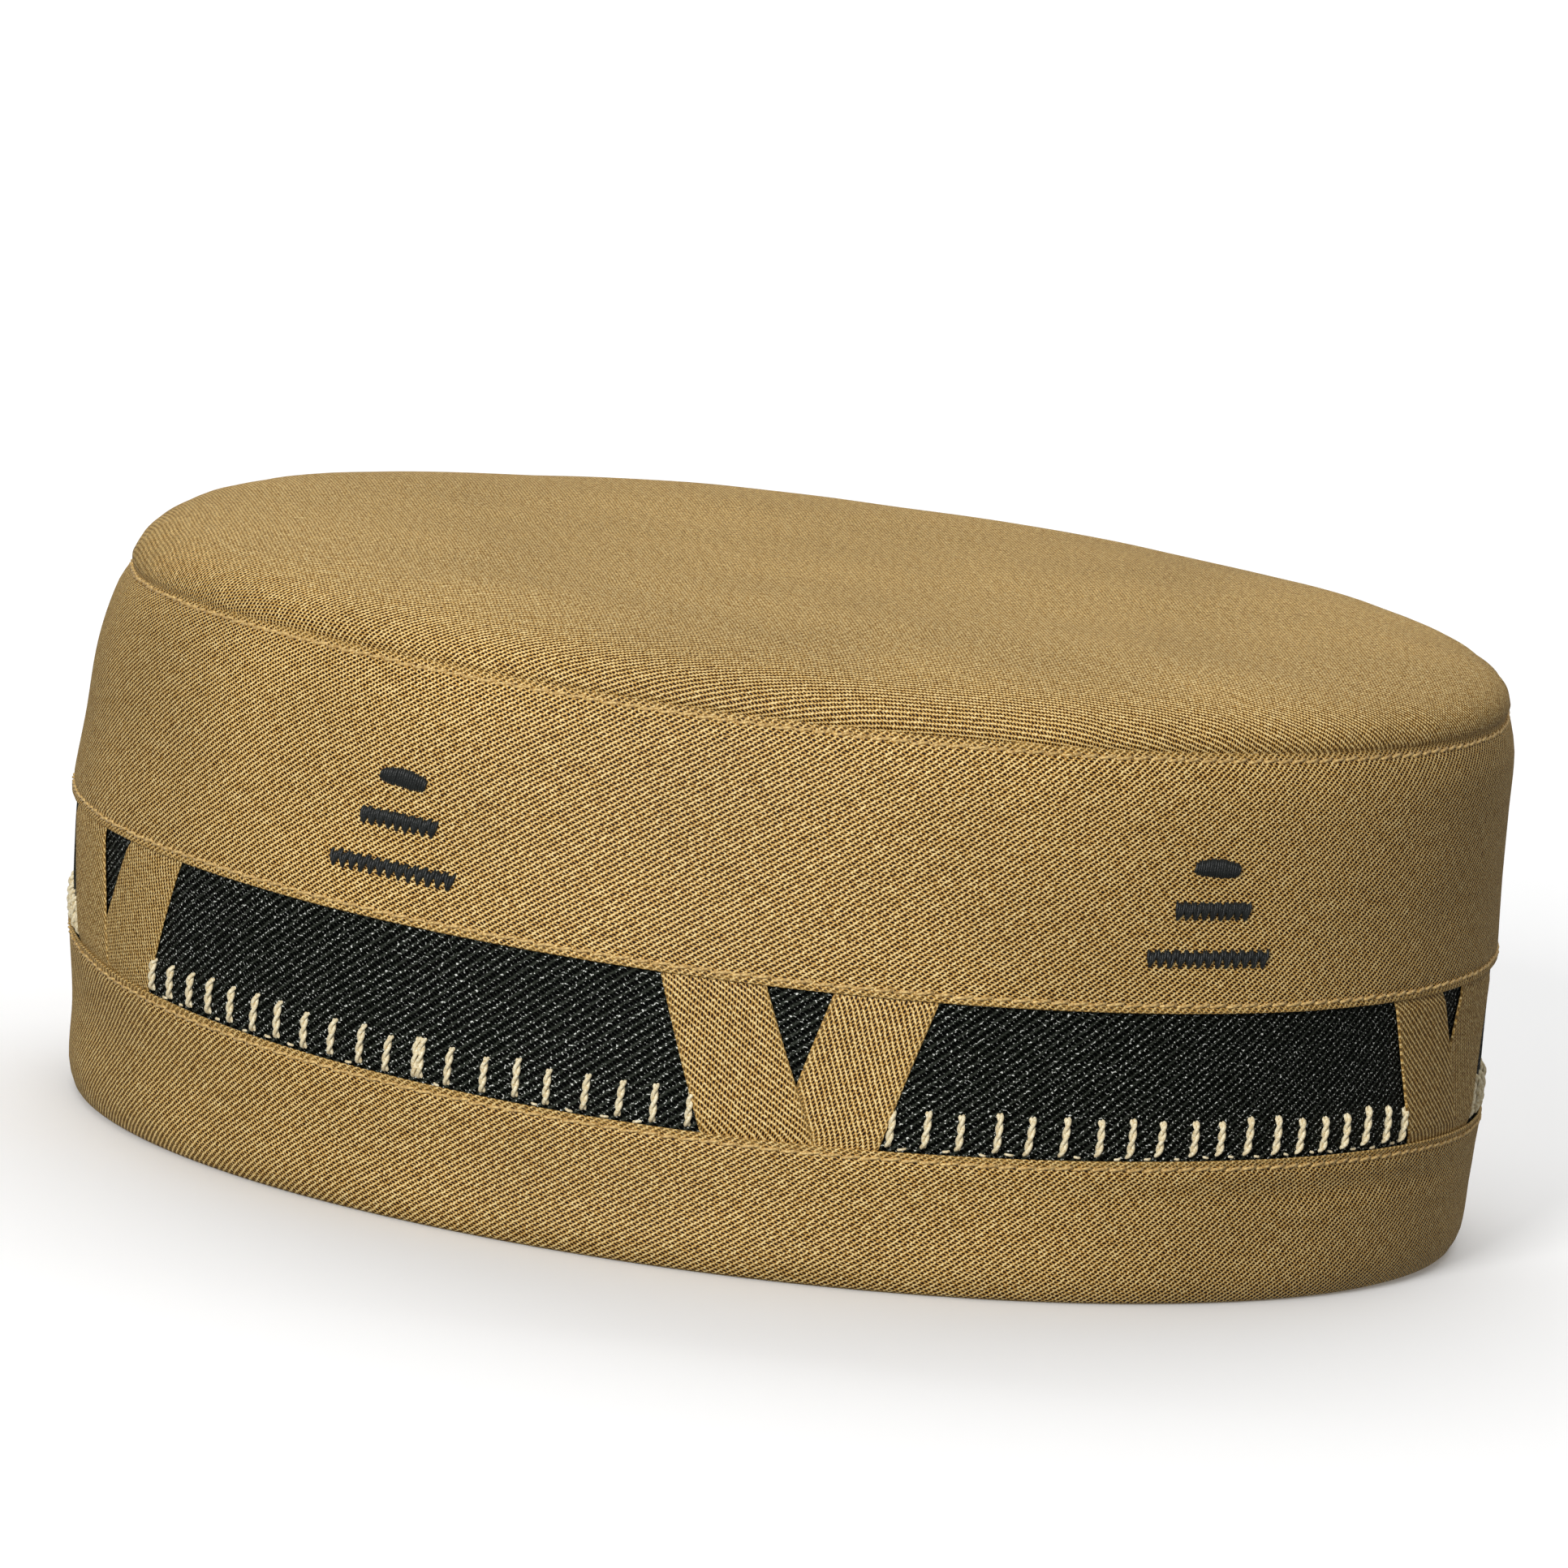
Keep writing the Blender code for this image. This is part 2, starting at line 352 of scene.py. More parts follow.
def add_bump(tree, shader, height, depth, strength=1.0):
    made = node(tree, "Bump")
    made.inputs["Strength"].default_value = strength
    made.inputs["Distance"].default_value = depth
    tree.links.new(height, made.inputs["Height"])
    tree.links.new(made.outputs["Normal"], shader.inputs["Normal"])


def add_grain(tree, value, grain, strength):
    """Adds noise to a value without moving its mean."""
    return maths(tree, "ADD", value, maths(tree, "MULTIPLY_ADD", grain, strength, -strength / 2))


# %% [markdown]
# The tan cloth is a two-over-one twill of slightly shiny cotton. Its colour is painted from the
# weave's height: the holes are painted dark brown, near black at the deepest, as shade, and the tops
# of the floats pale gold, paler than the yarn, as a painted highlight, and the eye mixes them to tan.
# Slubs, the thicker bits of a yarn, lighten or darken short stretches of thread, loose fibres make
# single floats uneven, and a slow cloud keeps large areas from looking printed. Where the cloth is
# folded the threads lie flatter, so that painted shade and highlight are weaker there, and the edge is
# painted paler, as a highlight on the round of the fold, which the "fold" attribute of a piece says.

# %% Tan twill
tan_twill, tree, shader = new_finish("tan_twill_cloth", 0.55, sheen=0.0, specular=0.2)
threads = node(tree, "UVMap", uv_map="threads").outputs["UV"]
where = node(tree, "TexCoord").outputs["Object"]
weave = weave_height(tree, threads, where, TAN_WAVES)
slubs = cloud(tree, vectors(tree, "MULTIPLY", threads, (0.9, 0.16, 1.0)), 1.0, 2.0)
fibres = cloud(tree, threads, 1.7, 1.0)
weave = add_grain(tree, weave, slubs, 0.36)
weave = add_grain(tree, weave, fibres, 0.44)
# Colour from the weave's height: painted shade in the holes, painted highlight on the floats' tops
colour = ramp(
    tree, weave,
    (0.08, from_srgb(6, 1, 0)), (0.42, from_srgb(54, 29, 4)), (0.62, from_srgb(120, 79, 25)),
    (0.78, from_srgb(200, 156, 78)), (0.92, from_srgb(253, 230, 168)),
)
# Near a folded edge the colour is mixed towards a flat, paler tan: weaker painted shade and highlight of
# the weave, and a painted highlight on the fold's round
fold = node(tree, "Attribute", attribute_name="fold").outputs["Fac"]
colour = blend_colours(tree, maths(tree, "MULTIPLY", fold, 0.45), colour, from_srgb(184, 148, 84))
tone = remap(tree, cloud(tree, where, 28.0, 3.0), 0.3, 0.7, 0.90, 1.08)
tone = feed(tree, node(tree, "CombineColor"), tone, tone, tone)
colour = blend_colours(tree, 1.0, colour, tone, "MULTIPLY")
tree.links.new(colour, shader.inputs["Base Color"])
add_bump(tree, shader, weave, 0.00012, 0.8)
print("Tan twill:", len(tree.nodes), "nodes")

# %% [markdown]
# The dark cloth is a coarser, three-over-one twill. Nearly all of it is black-green, painted black in
# the holes as shade, its wales are painted a little greyer on top as a highlight, and a few floats
# catch the light as small pale specks, which are painted highlights. Those specks are a fine noise
# that is let through on top of the wales alone.

# %% Dark twill
dark_twill, tree, shader = new_finish("dark_twill_cloth", 0.6, sheen=0.0, specular=0.03)
threads = node(tree, "UVMap", uv_map="threads").outputs["UV"]
where = node(tree, "TexCoord").outputs["Object"]
weave = weave_height(tree, threads, where, DARK_WAVES)
# Colour from the weave's height: black in the holes as painted shade, greyer on the wales as a painted
# highlight
colour = ramp(
    tree, weave,
    (0.10, from_srgb(0, 0, 0)), (0.66, from_srgb(4, 5, 3)), (0.82, from_srgb(34, 37, 31)),
    (1.0, from_srgb(60, 64, 56)),
)
# Painted highlights: small pale specks where floats catch the light
specks = remap(tree, cloud(tree, threads, 1.1, 2.0), 0.59, 0.67)
specks = maths(tree, "MULTIPLY", specks, remap(tree, weave, 0.60, 0.85))
colour = blend_colours(tree, specks, colour, from_srgb(236, 238, 230))
tree.links.new(colour, shader.inputs["Base Color"])
add_bump(tree, shader, weave, 0.00014, 0.8)

# %% [markdown]
# Three threads are used: tan for the topstitching, thick cream for the upright stitches, and
# charcoal for the embroidery. They need no weave. A fine noise makes the fibres uneven, and the
# charcoal one is smoother, because embroidery thread is made to shine.


# %% Thread finishes
def thread_finish(name, low, high, roughness, specular, grain):
    material, tree, shader = new_finish(name, roughness, sheen=0.1, specular=specular)
    where = node(tree, "TexCoord").outputs["Object"]
    fibres = cloud(tree, where, grain, 3.0)
    colour = ramp(tree, remap(tree, fibres, 0.3, 0.7), (0.0, low), (1.0, high))
    tree.links.new(colour, shader.inputs["Base Color"])
    add_bump(tree, shader, fibres, 0.00008, 0.6)
    return material


tan_thread = thread_finish(
    "tan_thread", from_srgb(158, 118, 56), from_srgb(244, 210, 140), 0.5, 0.35, 2600,
)
cream_thread = thread_finish(
    "cream_thread", from_srgb(206, 182, 132), from_srgb(255, 246, 214), 0.5, 0.35, 3200,
)
charcoal_thread = thread_finish(
    "charcoal_thread", from_srgb(4, 6, 5), from_srgb(30, 34, 32), 0.42, 0.35, 3600,
)

# %% [markdown]
# Sewing leaves relief. Each row of stitches draws a groove in the cloth, small puckers run off it,
# the folded edge beyond it puffs up, and the wearer's hands have left soft hollows. All of it is
# well under a millimetre, but the light finds it. The functions below give the depth at any place,
# so a stitch can be laid on exactly the surface that the cloth has there.

# %% Relief of the cloth
PLAIN_RADIUS = 0.1       # radius of the plain cylinder that a band is spun on
TOPSTITCHES = (0.0189, 0.0401, 0.0728)
MOTIFS = ((-31.9, 0.4), (35.4, 0.9), (107.0, 0.4), (181.7, 0.4), (256.4, 0.4))  # azimuth, lift in mm
MOTIF_MIDDLE = 0.0515
SOFT_HOLLOWS = (
    # height, its spread, azimuth, its spread, depth
    (0.0150, 0.0014, 50, 24, 0.00060),  # a fold that runs along under the hem band's edge
    (0.0120, 0.0045, -70, 12, 0.00045),
    (0.0500, 0.0030, 66, 4, 0.00025),
)
PUFFS = ((0.0197, 0.0004), (0.0394, 0.0006))  # height and spread of the swollen folded edges
# Depths of each kind of relief
SLOW_WAVES = 0.00022
STITCH_GROOVE, PUCKER = 0.00022, 0.00012
PUFF, BAR_HOLLOW = 0.00012, 0.00014


def ripple(azimuth, height, size, layer=0.0):
    """Smooth noise round the hat, with features about this many metres across."""
    turn = PLAIN_RADIUS / size
    x, y, z = math.sin(azimuth) * turn, math.cos(azimuth) * turn, height / size + layer
    return noise.noise(Vector((x, y, z)))


def dip(offset, width):
    return math.exp(-(offset / width) ** 2)


def turn_between(first, second):
    """Degrees from the first azimuth to the second, the short way round."""
    return (second - first + 180) % 360 - 180


def tan_relief(azimuth, height):
    """How far the tan cloth lies in from its plain form."""
    degrees = math.degrees(azimuth)
    depth = SLOW_WAVES * ripple(azimuth, height, 0.030)
    for number, line in enumerate(TOPSTITCHES):
        depth += STITCH_GROOVE * dip(height - line, 0.0005)
        pucker = PUCKER * ripple(azimuth, height * 0.3, 0.0042, 9.0 * number)
        depth += pucker * dip(height - line, 0.0035)
    depth -= PUFF * sum(dip(height - at, spread) for at, spread in PUFFS)
    for at, spread, middle, turn_spread, deepest in SOFT_HOLLOWS:
        depth += deepest * dip(height - at, spread) * dip(turn_between(middle, degrees), turn_spread)
    for middle, _ in MOTIFS:
        beside = dip(turn_between(middle, degrees), 6.5)
        depth += BAR_HOLLOW * beside * dip(height - MOTIF_MIDDLE, 0.0085)
    return depth


def on_cloth(azimuth, height, proud):
    """A point above the tan cloth's surface by a small height."""
    return on_side(azimuth, height, tan_relief(azimuth, height) - proud)


# %% [markdown]
# A band of cloth is one closed section, spun round the hat in a full turn. Spin copies the section's
# vertices with their layers, so the distance along the section, written once on the first copy,
# reaches every vertex, and the UV map can be counted from it in threads. The closing seam needs
# care: a face there has one end at almost a full turn and the other at zero, so the low one gets a
# turn added. A full turn is a whole number of weave repeats, so the wales meet.

# %% Spin and wrap helpers
FINE_TURN = 720          # segments round the hat for cloth with puckers
COARSE_TURN = 540        # segments for the dark band and the crown
RELIEF_REACH = 0.0016    # the relief fades out over this depth, so the back of a wall stays smooth
WHOLE_WALL = 0.1         # a depth far past any wall, so both of its faces move together
# The painted highlight along a folded edge reaches about FOLD_PALE
FOLD_PALE = 0.0009       # the cloth is paler within about this distance of a folded edge
WARPS_ROUND = 1608       # warp ends in a turn, a multiple of the twill's three
DARK_WARPS_ROUND = 1448  # a multiple of the dark twill's four
NO_TURN = (1e9, 1e9)     # for a flat sheet, whose UV map has no closing seam


def spin_line(points, layer_values, steps, closed):
    """Spins a line of (radius, height) points once round Z and keeps a value on every vertex."""
    bm = bmesh.new()
    layer = bm.verts.layers.float.new("along")
    verts = [bm.verts.new((0, -radius, height)) for radius, height in points]
    for vert, value in zip(verts, layer_values):
        vert[layer] = value
    pairs = list(zip(verts, verts[1:] + verts[:1])) if closed else list(zip(verts, verts[1:]))
    edges = [bm.edges.new(pair) for pair in pairs]
    bmesh.ops.spin(
        bm, geom=verts + edges, cent=(0, 0, 0), axis=(0, 0, 1), angle=math.tau,
        steps=steps, use_merge=True, use_duplicate=False,
    )
    bmesh.ops.remove_doubles(bm, verts=bm.verts, dist=1e-7)
    return bm, layer


def same_side(values, turn):
    """Brings values that straddle a closing seam to one side of it."""
    if max(values) - min(values) > turn / 2:
        return [value + turn if value < turn / 2 else value for value in values]
    return values


def lay_threads(bm, threads_at, turns=NO_TURN):
    """Writes the UV map, counted in threads."""
    layer = bm.loops.layers.uv.new("threads")
    for face in bm.faces:
        pairs = [threads_at(loop.vert) for loop in face.loops]
        columns = [same_side([pair[k] for pair in pairs], turns[k]) for k in (0, 1)]
        for loop, u, v in zip(face.loops, *columns):
            loop[layer].uv = (u, v)


def azimuth_of(vert):
    return math.atan2(vert.co.x, -vert.co.y) % math.tau


def lengths_along(points):
    total = [0.0]
    for a, b in zip(points, points[1:]):
        total.append(total[-1] + math.dist(a, b))
    return total


def make_piece(name, bm, material, slot, *nodes):
    """Turns a bmesh into a finished piece that rides on the hat and stands for CAD nodes."""
    bmesh.ops.recalc_face_normals(bm, faces=bm.faces)
    if bm.calc_volume(signed=True) < 0:
        bmesh.ops.reverse_faces(bm, faces=bm.faces)
    mesh = bpy.data.meshes.new(name)
    bm.to_mesh(mesh)
    bm.free()
    mesh.materials.append(material)
    mesh.shade_smooth()
    obj = bpy.data.objects.new(name, mesh)
    bpy.context.scene.collection.objects.link(obj)
    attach(obj, "root")
    if nodes:
        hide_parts(*nodes)
    print(f"{name}: {sum(len(p.vertices) - 2 for p in mesh.polygons)} triangles")
    return obj


# %% [markdown]
# A folded edge is the cloth turned back on itself, so its edge is a small half round and not a cut
# step. The folds of the tall band and the hem band lie over the dark band, and the rim is a fold of
# the whole wall. Rows of vertices stand close together near the stitches and further apart between.


# %% Band helper
def folded_edge(edge, way, thickness, drop, steps=6):
    """Points round a fold, from the outside to the back. way is 1 for a top edge, -1 for a bottom."""
    points = []
    for i in range(steps + 1):
        swing = math.pi * i / steps
        points.append((thickness / 2 * (1 - math.cos(swing)), edge - way * drop * (1 - math.sin(swing))))
    return points


def rows_between(low, high, fine_lines, fine=0.0004, coarse=0.0016, reach=0.0022):
    """Heights from low to high, close together near the given lines."""
    rows = [low]
    while rows[-1] < high:
        near = min(abs(rows[-1] - line) for line in fine_lines)
        rows.append(rows[-1] + (fine if near < reach else coarse))
    # A row that would crowd the next fold is left out
    return rows[1:-1] if high - rows[-2] > fine / 2 else rows[1:-2]


def band_cloth(name, section, relief, relief_reach, steps, material, slot, nodes, warps, weft):
    """Spins a closed section of (inset, height) points, lays its threads and wraps it on the hat."""
    along = lengths_along(section + section[:1])
    bm, layer = spin_line([(PLAIN_RADIUS - i, h) for i, h in section], along, steps, closed=True)
    lay_threads(
        bm, lambda v: (azimuth_of(v) / math.tau * warps, v[layer] / weft), (warps, along[-1] / weft),
    )
    fold = bm.verts.layers.float.new("fold")
    for vert in bm.verts:
        azimuth, height = azimuth_of(vert), vert.co.z
        inset = PLAIN_RADIUS - math.hypot(vert.co.x, vert.co.y)
        outside = min(max(1 - inset / relief_reach, 0.0), 1.0)
        nearest = min(abs(height - edge) for edge in (HEM_EDGE, TALL_EDGE, SEAM))
        # strength of the painted highlight along a folded edge, uneven along it
        vert[fold] = dip(nearest, FOLD_PALE) * (0.6 + 0.8 * ripple(azimuth, height, 0.002))
        vert.co = on_side(azimuth, height, inset + outside * relief(azimuth, height))
    return make_piece(name, bm, material, slot, *nodes)


# %% [markdown]
# The tall band is the hat's main wall, 35 mm high. Its section starts at the back of its lower fold,
# goes round the fold and up the outside, over the top fold, and down the back, where the stiffening
# makes it thicker.

# %% Tall band
BACK_ROWS, BACK_STEP = 6, 0.0046
half_fold = FOLDED_CLOTH / 2
low_fold = folded_edge(TALL_EDGE, -1, FOLDED_CLOTH, half_fold)[::-1]
high_fold = folded_edge(SEAM, 1, FOLDED_CLOTH, half_fold)
tall_rows = rows_between(TALL_EDGE + half_fold, SEAM - half_fold, TOPSTITCHES[1:])
outside = [(0.0, h) for h in tall_rows]
back_rows = [(WALL, SEAM - LAP - i * BACK_STEP) for i in range(BACK_ROWS)]
inside = [(FOLDED_CLOTH, SEAM - LAP)] + back_rows + [(FOLDED_CLOTH, back_rows[-1][1])]
band_cloth(
    "tall_band_cloth", low_fold + outside + high_fold + inside, tan_relief, RELIEF_REACH, FINE_TURN,
    tan_twill, "tan_twill", ["tall_band"], WARPS_ROUND, WEFT,
)

# %% [markdown]
# The hem band is made the same way. Its lower edge is the rim that the hat stands on, folded round
# the stiffening, and its top edge laps over the dark band.

# %% Hem band
RIM_DROP = 0.0007        # height of the rounded rim
RIM_BACK = 0.0070        # lowest row at the back of the wall, above the rim
rim_fold = folded_edge(0.0, -1, WALL, RIM_DROP)[::-1]
high_fold = folded_edge(HEM_EDGE, 1, FOLDED_CLOTH, half_fold)
hem_rows = rows_between(RIM_DROP, HEM_EDGE - half_fold, TOPSTITCHES[:1], coarse=0.0013)
outside = [(0.0, h) for h in hem_rows]
inside = [(FOLDED_CLOTH, HEM_EDGE - LAP), (WALL, HEM_EDGE - LAP), (WALL, RIM_BACK)]
band_cloth(
    "hem_band_cloth", rim_fold + outside + high_fold + inside, tan_relief, RELIEF_REACH, FINE_TURN,
    tan_twill, "tan_twill", ["hem_band"], WARPS_ROUND, WEFT,
)

# %% [markdown]
# The dark band is a single layer behind both folds. The thick cream stitches pull it into faint
# upright waves. Under the hem band's edge it lies deeper, which leaves room for the soft fold there.


# %% Dark band
HIDDEN_FROM, HIDDEN_FULL, HIDDEN_DEPTH = 0.0012, 0.0027, 0.00070  # below the hem band's edge
PULL, TOP_PULL = 0.00022, 0.00010  # depth of the upright waves, and along the tops of the stitches
STITCH_TOPS = 0.0245
DARK_STEPS = 22


def dark_relief(azimuth, height):
    """The dark cloth only ever lies further in than its plain form."""
    waves = 0.5 + 0.5 * ripple(azimuth, height * 0.35, 0.009, 3.0)
    hidden = share_between(HEM_EDGE - height, HIDDEN_FROM, HIDDEN_FULL)
    return PULL * waves + TOP_PULL * dip(height - STITCH_TOPS, 0.0015) + HIDDEN_DEPTH * hidden


dark_low, dark_high = HEM_EDGE - LAP + GAP, TALL_EDGE + LAP - GAP
dark_rows = [dark_low + (dark_high - dark_low) * i / DARK_STEPS for i in range(DARK_STEPS + 1)]
dark_section = [(DARK_INSET, h) for h in dark_rows] + [(WALL, h) for h in dark_rows[::-6]]
band_cloth(
    "dark_band_cloth", dark_section, dark_relief, WHOLE_WALL, COARSE_TURN,
    dark_twill, "dark_twill", ["dark_band"], DARK_WARPS_ROUND, DARK_WEFT,
)

# %% [markdown]
# The crown is cut flat and sewn in all round, so it bulges like a thin cushion with round shoulders.
# Its section is a superellipse: near the middle it is nearly flat, and it turns down quickly at the
# shoulder into a crease behind the tall band's edge. The section is an open line from the middle of
# the top, down and round the sewn-in skirt, and back to the middle of the underside. Its weave
# isn't wrapped round the hat. It is one flat sheet, laid a little askew, so the UV map is a plan.

# %% Crown
CROWN_RADIUS, CROWN_RISE, CROWN_WALL = 0.0919, 0.0078, 0.0016
CROWN_FLATNESS, CROWN_SHOULDER = 7.0, 2.2
FLAT_SHARE = 0.82        # rings stand evenly this far out, then close together round the shoulder
SHOULDER_START, SHOULDER_END = 60, 6  # degrees of the superellipse
CROWN_WAVES = (
    # depth, size, where the noise is read
    (0.00050, 0.045, (2, 5, 1)),
    (0.00018, 0.016, (7, 1, 4)),
)
GATHERS, GATHER_SIZE, GATHER_REACH = 0.00022, 0.0055, 0.0070
CROWN_ASKEW = math.radians(25)


def cushion(radius, rise, rings, shoulder_rings):
    """Points (radius, height) from the middle of the cushion to its shoulder."""
    flat = [radius * FLAT_SHARE * i / rings for i in range(rings)]
    points = [
        (r, SEAM + GAP + rise * (1 - (r / radius) ** CROWN_FLATNESS) ** (1 / CROWN_SHOULDER))
        for r in flat
    ]
    for i in range(shoulder_rings + 1):
        swing = math.radians(SHOULDER_START - (SHOULDER_START - SHOULDER_END) * i / shoulder_rings)
        points.append((
            radius * math.cos(swing) ** (2 / CROWN_FLATNESS),
            SEAM + GAP + rise * math.sin(swing) ** (2 / CROWN_SHOULDER),
        ))
    return points


def crown_relief(azimuth, radius, reach):
    """How far the crown's cloth sinks. Soft waves cross it, and small gathers run in from the seam."""
    spot = Vector((radius * math.sin(azimuth), -radius * math.cos(azimuth), 0))
    sink = sum(depth * noise.noise(spot / size + Vector(shift)) for depth, size, shift in CROWN_WAVES)
    return sink + GATHERS * ripple(azimuth, 0.0, GATHER_SIZE, 5.0) * dip(reach, GATHER_REACH)


skirt_low = SEAM - LAP + GAP
skirt_out = side_form(skirt_low)[0] - DARK_INSET
# Radius and height of the crease, from the shoulder's foot down behind the tall band's edge
crease = [(0.0920, 0.0745), (0.0919, 0.0741), (0.0916, 0.0737), (0.0917, 0.0720)]
crease.append((skirt_out, skirt_low))
top_line = cushion(CROWN_RADIUS, CROWN_RISE, 15, 16) + crease
under_line = cushion(CROWN_RADIUS - CROWN_WALL, CROWN_RISE - CROWN_WALL, 9, 8)
under_line.append((skirt_out - CROWN_WALL, skirt_low))
reaches = lengths_along(top_line) + lengths_along(under_line)[::-1]
bm, reach_layer = spin_line(top_line + under_line[::-1], reaches, COARSE_TURN, closed=False)


def crown_threads(vert):
    azimuth, reach = azimuth_of(vert), vert[reach_layer]
    x, y = reach * math.sin(azimuth), -reach * math.cos(azimuth)
    cos, sin = math.cos(CROWN_ASKEW), math.sin(CROWN_ASKEW)
    return (x * cos - y * sin) / WARP, (x * sin + y * cos) / WEFT


lay_threads(bm, crown_threads)
seam_reach = lengths_along(top_line)[-4]
RELIEF_FROM, RELIEF_FULL = 0.0738, 0.0758     # the skirt below the crease stays smooth
SETTLED_FULL, SETTLED_UP_TO = 0.0743, 0.0785  # the shoulder drops with the seam at the left
BULGE, DRAWN_IN = 0.7, 0.5                    # shares of a drop and of a sink that go sideways
for vert in bm.verts:
    azimuth, radius, height = azimuth_of(vert), math.hypot(vert.co.x, vert.co.y), vert.co.z
    upper = share_between(height, RELIEF_FROM, RELIEF_FULL)
    sink = upper * crown_relief(azimuth, radius, seam_reach - vert[reach_layer])
    settled = seam_drop(azimuth, height) * (1 - share_between(height, SETTLED_FULL, SETTLED_UP_TO))
    drawn_in = sink * DRAWN_IN * (radius / CROWN_RADIUS) ** 6
    vert.co = place(azimuth, radius + BULGE * settled - drawn_in, height)
    vert.co.z -= sink + settled
make_piece("crown_cloth", bm, tan_twill, "tan_twill", "crown")

# %% [markdown]
# Each V is two ribbons of the tan cloth, cut across and sewn on a slant, so their wales run steeply.
# A ribbon starts as a grid. Extruding it gives the back, its columns crowd towards both sides so
# the folded sides can be rounded, and both ends dive behind the folds of the tan bands. The left
# ribbon lies over the right one, which stops at its edge. The "fold" layer is added before the
# extrusion, because a new layer makes Blender forget which vertices were picked out earlier.

# %% Ribbons
VS = (
    # in degrees: middle, half the gap at the top, widths of left and right, inner feet, and how far
    # the outer edges slant
    (-66.6, 2.9, 11.0, 8.7, -0.5, -3.5, 3.9, 4.4),
    (2.2, 2.6, 8.25, 8.25, 2.0, -1.1, 3.9, 3.9),
    (68.9, 2.3, 8.6, 10.7, 4.0, -2.2, 4.6, 3.9),
    (144.3, 2.6, 8.25, 8.25, 2.0, -1.1, 3.9, 3.9),
    (219.0, 2.6, 8.25, 8.25, 2.0, -1.1, 3.9, 3.9),
)
STRIP_SLANT = math.radians(18.5)
OVERLAP = 0.05           # degrees by which a right ribbon runs in under the left one's edge
TUCK = 0.0010            # how far a ribbon's end runs on behind a fold
RIBBON_THICK = 0.00036
SIDE_ROUND = 0.0002
LEFT_INSET, RIGHT_INSET = 0.00004, 0.00015  # how far a ribbon lies behind the tan bands' outside
DIVE = 0.0011                               # the stretch on which an end bends in behind a fold
DIVE_FRONT, DIVE_REAR = 0.00047, 0.00054    # how deep its two sides then lie


def ribbon_cloth(number, side, left_edge, right_edge, front_inset):
    """A slanted ribbon between two edges, each given in degrees at a share of the way down."""
    top, foot = TALL_EDGE + TUCK, HEM_EDGE - TUCK
    middle = math.radians(VS[number - 1][0])
    bm = bmesh.new()
    fold = bm.verts.layers.float.new("fold")
    bmesh.ops.create_grid(bm, x_segments=20, y_segments=26, size=1.0)
    back = bmesh.ops.extrude_face_region(bm, geom=bm.faces[:])["geom"]
    back_verts = {item for item in back if isinstance(item, bmesh.types.BMVert)}
    spots = {}
    for vert in bm.verts:
        even, drop = (vert.co.x + 1) / 2, (1 - vert.co.y) / 2
        across = even - 0.85 * math.sin(math.tau * even) / math.tau
        height = top + (foot - top) * drop
        down = (TALL_EDGE - height) / (TALL_EDGE - HEM_EDGE)
        left, right = left_edge(down), right_edge(down)
        azimuth = math.radians(left + (right - left) * across)
        width = math.radians(right - left) * side_form(height)[0]
        from_side = min(across, 1 - across) * width
        rounding = 1 - math.sqrt(max(1 - max(1 - from_side / SIDE_ROUND, 0.0) ** 2, 0.0))
        # Behind a fold only the thin gap is left, so the end flattens as it dives
        into_top = min(1 - (TALL_EDGE - height) / DIVE, 1.0)
        into_foot = min(1 - (height - HEM_EDGE) / DIVE, 1.0)
        dive = max(into_top, into_foot, 0.0)
        dive = dive * dive * (3 - 2 * dive)
        front = front_inset + 0.00004 * ripple(azimuth, height, 0.006, number)
        rear = front + RIBBON_THICK
        front += (rear - front) / 2 * rounding
        rear -= (rear - front) / 2 * rounding
        front += (DIVE_FRONT - front) * dive
        rear += (DIVE_REAR - rear) * dive
        inset = rear if vert in back_verts else front
        spots[vert] = ((azimuth - middle) * SIDE_RADIUS, height, inset)
        # the folded sides of a ribbon get the same painted highlight
        vert[fold] = 0.7 * dip(from_side, 0.0006)
        vert.co = on_side(azimuth, height, inset)
    lean = STRIP_SLANT if side == "left" else -STRIP_SLANT

    def strip_threads(vert):
        u, v, inset = spots[vert]
        strip_u = u * math.cos(lean) + v * math.sin(lean)
        strip_v = v * math.cos(lean) - u * math.sin(lean)
        return -strip_v / WARP, (strip_u + inset) / WEFT

    lay_threads(bm, strip_threads)
    make_piece(f"ribbon_{side}_{number}_cloth", bm, tan_twill, "tan_twill", f"ribbon_{side}_{number}")


for number, row in enumerate(VS, start=1):
    middle, half_gap, left_width, right_width, left_foot, right_foot, left_slant, right_slant = row

    def left_inner(down):
        return middle - half_gap + (half_gap + left_foot) * down

    ribbon_cloth(
        number, "left",
        lambda down: middle - half_gap - left_width + left_slant * down, left_inner, LEFT_INSET,
    )
    ribbon_cloth(
        number, "right",
        lambda down: max(middle + half_gap + (right_foot - half_gap) * down, left_inner(down) - OVERLAP),
        lambda down: middle + half_gap + right_width - right_slant * down, RIGHT_INSET,
    )

# %% [markdown]
# Threads are curves with a round bevel, turned into meshes once they lie right. A row of
# topstitching is one closed curve that comes up, lies on the cloth for two millimetres and dives
# into the next hole. Each stitch is a little slanted, as a lockstitch is.


